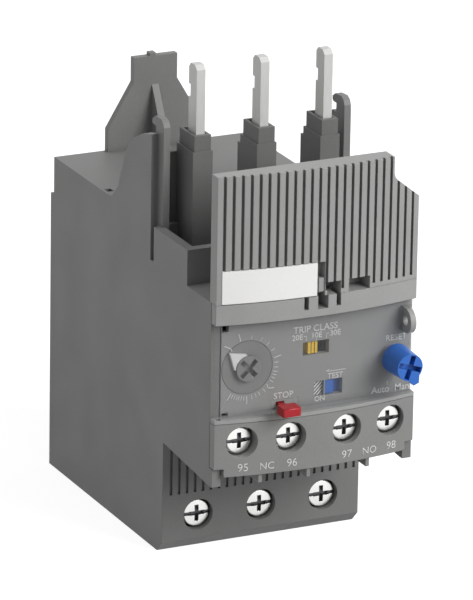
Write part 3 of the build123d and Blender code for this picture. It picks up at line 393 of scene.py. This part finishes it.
# The pointer keeps only a trace of painted shade in its corners.
dress(moulded("pointer_acetal", "#FAFAF8", grain_mm=0.3, roughness=0.4, relief=0.04, cloud=0.01,
              recess_shade=0.05), "dial_pointer")


# The stop button. Red acetal from a polished tool, which gives a smoother skin than the case
# has. Its head stands on a narrow neck, and its collar runs behind the panel.
red_acetal = moulded("red_acetal", "#AE2028", grain_mm=0.5, roughness=0.36, relief=0.05, cloud=0.03)
dress(red_acetal, "stop_button")

neck_run = (front_y - 27.0, front_y - 20.6)
head_rise = (37.0, 41.0)
left_of_neck = (-11.0, neck[0], *neck_run, *head_rise)
right_of_neck = (neck[1], -5.0, *neck_run, *head_rise)
above_neck = (neck[0] - 0.1, neck[1] + 0.1, *neck_run, neck[3], head_rise[1])
reworked("stop_button", red_acetal, "stop_actuator",
         cuts=[left_of_neck, right_of_neck, above_neck])


# The reset knob with its plunger, and the test slider. Acetal in a strong blue with a soft
# sheen. The slider fills its window with a plate that runs behind the panel.
# Its recesses, such as the knob's cross, get painted shade, a little less than the case's corners.
blue_acetal = moulded("blue_acetal", "#3872CC", grain_mm=0.5, roughness=0.36, relief=0.05, cloud=0.03,
                      recess_shade=0.3)
dress(blue_acetal, "reset_knob", "reset_plunger", "test_slider")

slider_plate = (3.5, 7.4, panel_back + 0.15, panel_back + 1.15, 38.1, 42.5)
reworked("test_slider", blue_acetal, "test_actuator", joins=[slider_plate])


# The class slider. Warm yellow acetal, polished like the other actuators, with three ridges
# for a finger nail that each catch a line of light.
yellow_acetal = moulded("yellow_acetal", "#FFD448", grain_mm=0.5, roughness=0.36, relief=0.05, cloud=0.03)
dress(yellow_acetal, "class_slider")

ridge_rise = (47.0, 51.5)
ridge_y = (panel_y - 0.5, panel_y + 0.65)
left_end = (-1.4, -0.8, ridge_y[0], panel_back, *ridge_rise)
ridge_gaps = [(-0.15, 0.0, *ridge_y, *ridge_rise), (0.6, 0.75, *ridge_y, *ridge_rise)]
reworked("class_slider", yellow_acetal, "class_selector", cuts=[left_end] + ridge_gaps)


# The clear cover. Smoked polycarbonate, 1 mm thick and polished, hinged at its left edge.
# The panel shows through it with little loss, and its face keeps a soft shine.
def smoked(name, hex_code, cover_share):
    """Smoked clear sheet: cover_share is how much of the surface colour hides what lies behind."""
    material, tree = blank_material(name)
    place = add(tree, "ShaderNodeTexCoord")
    wave = add(tree, "ShaderNodeTexNoise", {"Vector": place.outputs["Object"]},
               {"Scale": 120.0, "Detail": 1.0})
    edge = add(tree, "ShaderNodeBevel", None, {"Radius": 0.15 * MM}, samples=4)
    bump = add(tree, "ShaderNodeBump", {"Height": wave.outputs["Fac"], "Normal": edge.outputs[0]},
               {"Strength": 0.02, "Distance": 0.05 * MM})
    gloss = add(tree, "ShaderNodeMapRange", {"Value": wave.outputs["Fac"]},
                {**noise_span, "To Min": 0.16, "To Max": 0.22})
    skin = add(tree, "ShaderNodeBsdfPrincipled", {"Normal": bump.outputs[0], "Roughness": gloss.outputs[0]},
               {"Base Color": colour(hex_code), "IOR": 1.58, "Alpha": cover_share})
    add(tree, "ShaderNodeOutputMaterial", {"Surface": skin.outputs[0]})
    return material


dress(smoked("smoked_polycarbonate", "#8A8C8E", 0.12), "clear_cover")


# The blades and bus bars. Copper, stamped from strip, bent and tin plated. Each is one bar that
# runs from its blade through a transformer to its terminal, and lies in the case's partitions.
def satin_metal(name, hex_code, roughness, grain_mm, stretch=(1.0, 1.0, 1.0), relief=0.1, edge_mm=0.12,
                metallic=1.0):
    """Plated or rolled metal: a noise of that width in mm, drawn out along the axes with a small
    stretch, which moves the tone, the roughness and the bump together. Real draw lines are about
    0.02 mm apart and too fine to show, so they are drawn 0.1 mm wide or more."""
    material, tree = blank_material(name)
    place = add(tree, "ShaderNodeTexCoord")
    along = add(tree, "ShaderNodeMapping", {"Vector": place.outputs["Object"]}, {"Scale": stretch})
    lines = add(tree, "ShaderNodeTexNoise", {"Vector": along.outputs[0]},
                {"Scale": 1.0 / (grain_mm * MM), "Detail": 3.0})
    tone = add(tree, "ShaderNodeMapRange", {"Value": lines.outputs["Fac"]},
               {**noise_span, "To Min": 0.94, "To Max": 1.03})
    base = add(tree, "ShaderNodeVectorMath", {"Scale": tone.outputs[0]}, {0: colour(hex_code)[:3]},
               operation="SCALE")
    gloss = add(tree, "ShaderNodeMapRange", {"Value": lines.outputs["Fac"]},
                {**noise_span, "To Min": roughness - 0.05, "To Max": roughness + 0.08})
    edge = add(tree, "ShaderNodeBevel", None, {"Radius": edge_mm * MM}, samples=4)
    bump = add(tree, "ShaderNodeBump", {"Height": lines.outputs["Fac"], "Normal": edge.outputs[0]},
               {"Strength": relief, "Distance": 0.03 * MM})
    skin = add(tree, "ShaderNodeBsdfPrincipled",
               {"Base Color": base.outputs[0], "Roughness": gloss.outputs[0], "Normal": bump.outputs[0]},
               {"Metallic": metallic})
    add(tree, "ShaderNodeOutputMaterial", {"Surface": skin.outputs[0]})
    return material


# Matt tin scatters like a pale paint, so it is hardly metallic. Fine draw lines run up the blade.
dress(satin_metal("tinned_copper", "#D2D2D0", 0.42, 0.12, stretch=(1.0, 1.0, 0.06), metallic=0.1),
      "busbar_1", "busbar_2", "busbar_3")


# The strips of the auxiliary contacts and the two contact bridges. Brass, rolled and stamped,
# held by the terminal block: warm yellow with the satin of the roll.
dress(satin_metal("rolled_brass", "#C9A45C", 0.32, 0.15),
      "aux_contact_95", "aux_contact_96", "aux_contact_97", "aux_contact_98", "break_bridge", "make_bridge")


# The cage clamps and the clamp washers. Steel, bent from strip and zinc plated, drawn up by
# their screws: a grey a little bluer than the tin, with a coarser grain.
dress(satin_metal("zinc_plated_steel", "#BFC2C4", 0.36, 0.25),
      "main_clamp_1", "main_clamp_2", "main_clamp_3",
      "aux_clamp_95", "aux_clamp_96", "aux_clamp_97", "aux_clamp_98")


# The terminal screws. Steel, cold headed with a slot and a cross, the thread rolled. Bright zinc
# makes the heads the brightest metal on the relay. Their slot and cross get a dark, dull zinc as painted
# shade.
bright_zinc = satin_metal("bright_zinc", "#F0F0EE", 0.3, 0.2, relief=0.04, edge_mm=0.08)
painted_shade_zinc = satin_metal("painted_shade_zinc", "#6C6C6E", 0.45, 0.2, relief=0.1, edge_mm=0.05, metallic=0.7)


def turned(profile, sides, wobble):
    """Surface of revolution about the Y axis: a profile of (radius, y) carried round in equal steps.

    Its first and last profile points lie on the axis. wobble(angle, y) is added to the radius.
    """
    r, y = np.asarray(profile, float).T
    a = np.linspace(0.0, 2.0 * np.pi, sides, endpoint=False)
    ring_y = y[1:-1]
    radius = r[1:-1] + wobble(a[:, None], ring_y[None, :])
    grid = np.stack([radius * np.cos(a)[:, None], np.broadcast_to(ring_y, radius.shape),
                     radius * np.sin(a)[:, None]], axis=-1)
    points = np.concatenate([grid.reshape(-1, 3), [[0.0, y[0], 0.0]], [[0.0, y[-1], 0.0]]])
    n = ring_y.size
    i = np.arange(sides)[:, None]
    j = np.arange(n - 1)[None, :]
    after = (i + 1) % sides
    quads = np.stack([i * n + j, i * n + j + 1, after * n + j + 1, after * n + j], axis=-1).reshape(-1, 4)
    first, last = sides * n, sides * n + 1
    front = np.concatenate([np.full_like(i, first), i * n, after * n], axis=-1)
    rear = np.concatenate([np.full_like(i, last), after * n + n - 1, i * n + n - 1], axis=-1)
    return points, quads.tolist() + front.tolist() + rear.tolist()


dome_rise = 0.22
thread_relief = 0.11
slot_half = 0.36
slot_depth = 0.8
cross_half = 0.45
cross_depth = 1.3
cross_share = 0.6


def terminal_screw(name, node, body, x, z, head_y, head_r, head_h, shank_r, end_y, pitch):
    """Pan head screw along Y. The head's face is a shallow dome, y = rise (r / head_r)^2 off its
    middle, and the thread is a sine ridge that climbs one pitch each turn."""
    dome = [(head_r * t, head_y + dome_rise * t ** 2) for t in np.linspace(0.0, 0.92, 8)]
    rim = [(head_r * 0.98, head_y + 0.3), (head_r, head_y + 0.5), (head_r, head_y + head_h - 0.15),
           (head_r - 0.15, head_y + head_h), (shank_r, head_y + head_h)]
    run = np.arange(head_y + head_h + 0.15, end_y - 0.3, pitch / 8.0)
    thread = [(shank_r - 0.12, y) for y in run]
    tip = [(shank_r - 0.5, end_y - 0.05), (0.0, end_y)]

    def ridge(a, y):
        inside = (y >= run[0]) & (y <= run[-1])
        return np.where(inside, thread_relief * np.cos(2.0 * np.pi * y / pitch - a), 0.0)

    points, faces = turned(dome + rim + thread + tip, 48, ridge)
    points[:, 0] += x
    points[:, 2] += z
    piece = shell(name, points, faces, bright_zinc, None)
    before_head = head_y - 1
    cross_reach = cross_share * head_r
    slot = (x - head_r - 1, x + head_r + 1, before_head, head_y + slot_depth, z - slot_half, z + slot_half)
    tall_cut = (x - cross_half, x + cross_half, before_head, head_y + cross_depth,
                z - cross_reach, z + cross_reach)
    wide_cut = (x - cross_reach, x + cross_reach, before_head, head_y + cross_depth,
                z - cross_half, z + cross_half)
    for cut in (slot, tall_cut, wide_cut):
        # The cut faces of the slot and the cross take the dark zinc: painted shade in the recesses.
        work(piece, "DIFFERENCE", [cut], "TRANSFER", painted_shade_zinc)
    finish_piece(piece, body, (node,))


main_screw_z = 7.55
for i, x in pole_x.items():
    terminal_screw(f"main_screw_turned_{i}", f"main_screw_{i}", f"terminal_screw_{i}", x, main_screw_z,
                   head_y=front_y + 0.8, head_r=2.95, head_h=1.9, shank_r=2.0, end_y=front_y + 8.45,
                   pitch=0.7)

aux_x = {"95": -16.7, "96": -6.3, "97": 6.3, "98": 16.7}
aux_screw_z = 32.3
for number, x in aux_x.items():
    head_y = float(bow_y(x)) + 1.4
    terminal_screw(f"aux_screw_turned_{number}", f"aux_screw_{number}", f"aux_driver_{number}", x,
                   aux_screw_z, head_y=head_y, head_r=2.78, head_h=1.9, shank_r=1.7, end_y=head_y + 7.9,
                   pitch=0.6)


# The trip indicator. White acetal, printed with slanting grey lines, on the arm of the trip
# slide. It shows in its window as a pale hatched field.
def hatched(name, hex_code, line_hex, pitch_mm, share):
    """White with slanting lines: a line where the fraction of (x - z) / pitch is under the share."""
    material, tree = blank_material(name)
    place = add(tree, "ShaderNodeTexCoord")
    axes = add(tree, "ShaderNodeSeparateXYZ", {0: place.outputs["Object"]})
    slant = add(tree, "ShaderNodeMath", {0: axes.outputs["X"], 1: axes.outputs["Z"]}, operation="SUBTRACT")
    turns = add(tree, "ShaderNodeMath", {0: slant.outputs[0]}, {1: 1.0 / (pitch_mm * MM)},
                operation="MULTIPLY")
    part = add(tree, "ShaderNodeMath", {0: turns.outputs[0]}, operation="FRACT")
    line = add(tree, "ShaderNodeMath", {0: part.outputs[0]}, {1: share}, operation="LESS_THAN")
    ink = add(tree, "ShaderNodeMix", {"Factor": line.outputs[0]},
              {6: colour(hex_code), 7: colour(line_hex)}, data_type="RGBA")
    skin = add(tree, "ShaderNodeBsdfPrincipled", {"Base Color": ink.outputs[2]}, {"Roughness": 0.45})
    add(tree, "ShaderNodeOutputMaterial", {"Surface": skin.outputs[0]})
    return material


# The real lines are about 0.4 mm apart and would blur, so they are drawn 0.8 mm apart.
hatched_acetal = hatched("hatched_acetal", "#F4F4F2", "#5E605E", 0.8, 0.45)
dress(hatched_acetal, "trip_flag")

flag_face = (0.4, 2.85, panel_y + 0.8, past_panel, 38.5, 44.3)
reworked("trip_flag", hatched_acetal, "trip_mechanism", joins=[flag_face])


# The legends and the dial's scale. White ink, pad printed on the terminal block and on the panel
# behind the clear cover: flat, matt and a little off white, with no grain to see.
white_ink = moulded("white_ink", "#EDEDEB", grain_mm=0.4, roughness=0.5, relief=0.02, cloud=0.01)
ink_depth = 0.1
cap_share = 0.73  # height of a capital, as a share of the font's size


def printed(name, words, height, x, z, on_bow=False, bolder=0.03):
    """Words as a raised print, centred at x and standing on z in mm, on the panel or, where on_bow
    is set, on the bowed face. Each outline is moved out by bolder, or in where it is negative."""
    curve = bpy.data.curves.new(name, "FONT")
    curve.body = words
    curve.size = height / cap_share
    curve.offset = bolder
    curve.align_x = "CENTER"
    curve.extrude = ink_depth / 2.0
    curve.resolution_u = 4
    holder = bpy.data.objects.new(name, curve)
    bpy.context.scene.collection.objects.link(holder)
    graph = bpy.context.evaluated_depsgraph_get()
    mesh = bpy.data.meshes.new_from_object(holder.evaluated_get(graph))
    bpy.data.objects.remove(holder)
    flat = np.empty(len(mesh.vertices) * 3)
    mesh.vertices.foreach_get("co", flat)
    flat = flat.reshape(-1, 3)
    across = x + flat[:, 0]
    face = bow_y(across) if on_bow else panel_y
    placed = np.stack([across, face - flat[:, 2], z + flat[:, 1]], axis=-1)
    mesh.vertices.foreach_set("co", (placed * MM).ravel())
    mesh.materials.clear()
    mesh.materials.append(white_ink)
    mesh.update()
    piece = bpy.data.objects.new(name, mesh)
    bpy.context.scene.collection.objects.link(piece)
    finish_piece(piece, "relay", ())


# Each row gives the words, the height of a capital and the middle's x, in mm.
number_z = 26.1
for words, cap, x in (("95", 1.75, -16.45), ("NC", 1.6, -11.4), ("96", 1.75, -6.0),
                      ("97", 1.75, 6.35), ("NO", 1.6, 11.7), ("98", 1.75, 17.0)):
    printed(f"terminal_number_{words}", words, cap, x, number_z, on_bow=True, bolder=-0.02)

# Each row gives the piece's last word, the printed words, the capital's height, x and z, in mm.
for what, words, cap, x, z in (("class", "TRIP CLASS", 1.45, 0.7, 52.8),
                               ("class_20E", "20E", 1.2, -3.35, 51.35),
                               ("class_10E", "10E", 1.2, 0.95, 51.35),
                               ("class_30E", "30E", 1.2, 5.15, 51.35),
                               ("stop", "STOP", 1.35, -6.25, 39.45),
                               ("test", "TEST", 1.2, 5.35, 42.15),
                               ("on", "ON", 1.1, 1.95, 37.65),
                               ("reset", "RESET", 1.3, 19.0, 48.4),
                               ("auto", "Auto", 1.45, 15.7, 37.45),
                               ("man", "Man", 1.45, 20.6, 37.45)):
    printed(f"legend_{what}", words, cap, x, z)


def strokes(name, ends, stroke_mm):
    """Straight printed strokes on the panel: a thin bar along each pair of (x, z) ends in mm."""
    ends = np.asarray(ends, float)
    a, b = ends[:, 0], ends[:, 1]
    along = (b - a) / np.linalg.norm(b - a, axis=1)[:, None]
    across = np.stack([-along[:, 1], along[:, 0]], axis=-1) * stroke_mm / 2.0
    corners = np.stack([a - across, b - across, b + across, a + across], axis=1)
    front = np.full(corners.shape[:2], panel_y - ink_depth / 2.0)
    back = np.full(corners.shape[:2], panel_y + ink_depth / 2.0)
    near = np.stack([corners[..., 0], front, corners[..., 1]], axis=-1)
    far = np.stack([corners[..., 0], back, corners[..., 1]], axis=-1)
    points = np.concatenate([near, far], axis=1).reshape(-1, 3)
    box = np.array([(0, 1, 2, 3), (7, 6, 5, 4), (0, 4, 5, 1), (1, 5, 6, 2), (2, 6, 7, 3), (3, 7, 4, 0)])
    faces = (box[None] + 8 * np.arange(len(ends))[:, None, None]).reshape(-1, 4)
    shell(name, points, faces, white_ink, "relay")


scale_middle = np.array([-14.45, 47.0])
tick_foot = 6.05


def ring_ticks(angles, outer):
    """Radial strokes round the scale's middle, from the foot's radius to the outer one, in degrees."""
    a = np.radians(np.asarray(angles, float))
    way = np.stack([np.cos(a), np.sin(a)], axis=-1)
    return np.stack([scale_middle + tick_foot * way, scale_middle + outer * way], axis=1)


strokes("dial_scale_fine", ring_ticks(
    (82, 62, 45, 29, 3, -6, -14, -20, -26, -33, -54, -65, -72, -80, -96, -101, -106, -110, -115, -120),
    6.95), 0.16)
strokes("dial_scale_main", ring_ticks((105, 13, -90, -125), 7.75), 0.2)
strokes("dial_scale_start", [((-19.6, 52.3), (-18.2, 51.6)), ((-18.2, 51.6), (-17.9, 51.0))], 0.2)
strokes("dial_scale_bend", [((-10.05, 42.9), (-9.65, 42.0)), ((-9.7, 42.0), (-8.4, 41.95))], 0.2)
strokes("test_arrow", [((3.1, 43.75), (7.7, 43.75)), ((3.1, 43.75), (4.0, 44.1))], 0.16)
strokes("reset_tick", [((17.2, 38.95), (17.2, 39.75))], 0.18)
strokes("class_brackets", [((-1.95, 51.95), (-1.35, 51.95)), ((-1.35, 52.03), (-1.35, 50.95)),
                           ((0.9, 51.2), (0.9, 50.8)),
                           ((3.75, 51.95), (3.15, 51.95)), ((3.15, 52.03), (3.15, 50.95))], 0.16)


# The current transformers and the trip relay. Cores and yoke of punched dark steel sheet, with
# the sheets' edges as faint lines, and coils of enamelled wire, copper brown and glossy.
dress(satin_metal("transformer_sheet", "#6C6E70", 0.45, 0.5, stretch=(0.05, 0.05, 1.0)),
      "transformer_core_1", "transformer_core_2", "transformer_core_3", "trip_yoke", "trip_plunger")
dress(satin_metal("enamelled_copper", "#A85A2C", 0.3, 0.35, stretch=(0.05, 1.0, 1.0), relief=0.4),
      "transformer_winding_1", "transformer_winding_2", "transformer_winding_3", "trip_coil")


# The holding magnet in the yoke. Ferrite, pressed and sintered: charcoal grey and dull.
dress(moulded("ferrite", "#3A3B3E", grain_mm=0.3, roughness=0.6), "holding_magnet")


# The two boards. Glass laminate, cut to shape and held in the case's slots: green under a
# solder mask that is smoother than the mouldings.
dress(moulded("green_laminate", "#2F6B45", grain_mm=0.5, roughness=0.35, relief=0.1),
      "main_board", "rear_board")


# What stands on the boards, and the trip slide. Black polyester, moulded for parts that take
# the heat of soldering: near black with a matt face.
dress(moulded("black_polyester", "#26272A", grain_mm=0.4, roughness=0.5),
      "setting_potentiometer", "class_switch", "test_switch", "trip_slide", "storage_capacitor")


# The return springs of the stop button and the reset knob. Round drawn wire, bright and smooth,
# coiled with flat end turns between the collar and the board.
spring_wire = satin_metal("drawn_spring_wire", "#A9ABAD", 0.3, 0.1)
wire_r = 0.225
coil_turns = 7
coil_steps = 24
wire_sides = 10
board_side = -40.85


def coil_spring(node, x, z, radius, front):
    """Round wire on a helix: the wire's centre goes round the axis at a constant radius while its
    depth grows evenly with the angle, except in the first and last turn, which lie flat."""
    length = board_side - front
    turn = np.linspace(0.0, coil_turns, coil_turns * coil_steps + 1)
    flat = 2.1 * wire_r
    climb = length - 2 * wire_r
    depth = front + wire_r + np.interp(turn, [0, 1, coil_turns - 1, coil_turns],
                                       [0, flat, climb - flat, climb])
    angle = 2 * math.pi * turn[:, None]
    around = 2 * math.pi * np.arange(wire_sides)[None, :] / wire_sides
    reach = radius + wire_r * np.cos(around)
    points = np.stack([x + reach * np.cos(angle), depth[:, None] + wire_r * np.sin(around),
                       z + reach * np.sin(angle)], axis=-1).reshape(-1, 3)
    ring, side = np.meshgrid(np.arange(coil_turns * coil_steps) * wire_sides, np.arange(wire_sides),
                             indexing="ij")
    ahead = (side + 1) % wire_sides
    faces = np.stack([ring + side, ring + ahead, ring + wire_sides + ahead, ring + wire_sides + side],
                     axis=-1).reshape(-1, 4).tolist()
    end = np.arange(wire_sides)
    faces += [end[::-1].tolist(), (coil_turns * coil_steps * wire_sides + end).tolist()]
    spring = shell(f"{node}_coil", points, faces, spring_wire, "relay", (node,))
    spring.data.polygons.foreach_set("use_smooth", np.ones(len(spring.data.polygons), bool))
    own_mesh(spring)


coil_spring("stop_spring", -8.0, 39.125, radius=1.2, front=-48.4)
coil_spring("reset_spring", 18.272, 45.07, radius=1.75, front=-48.2)
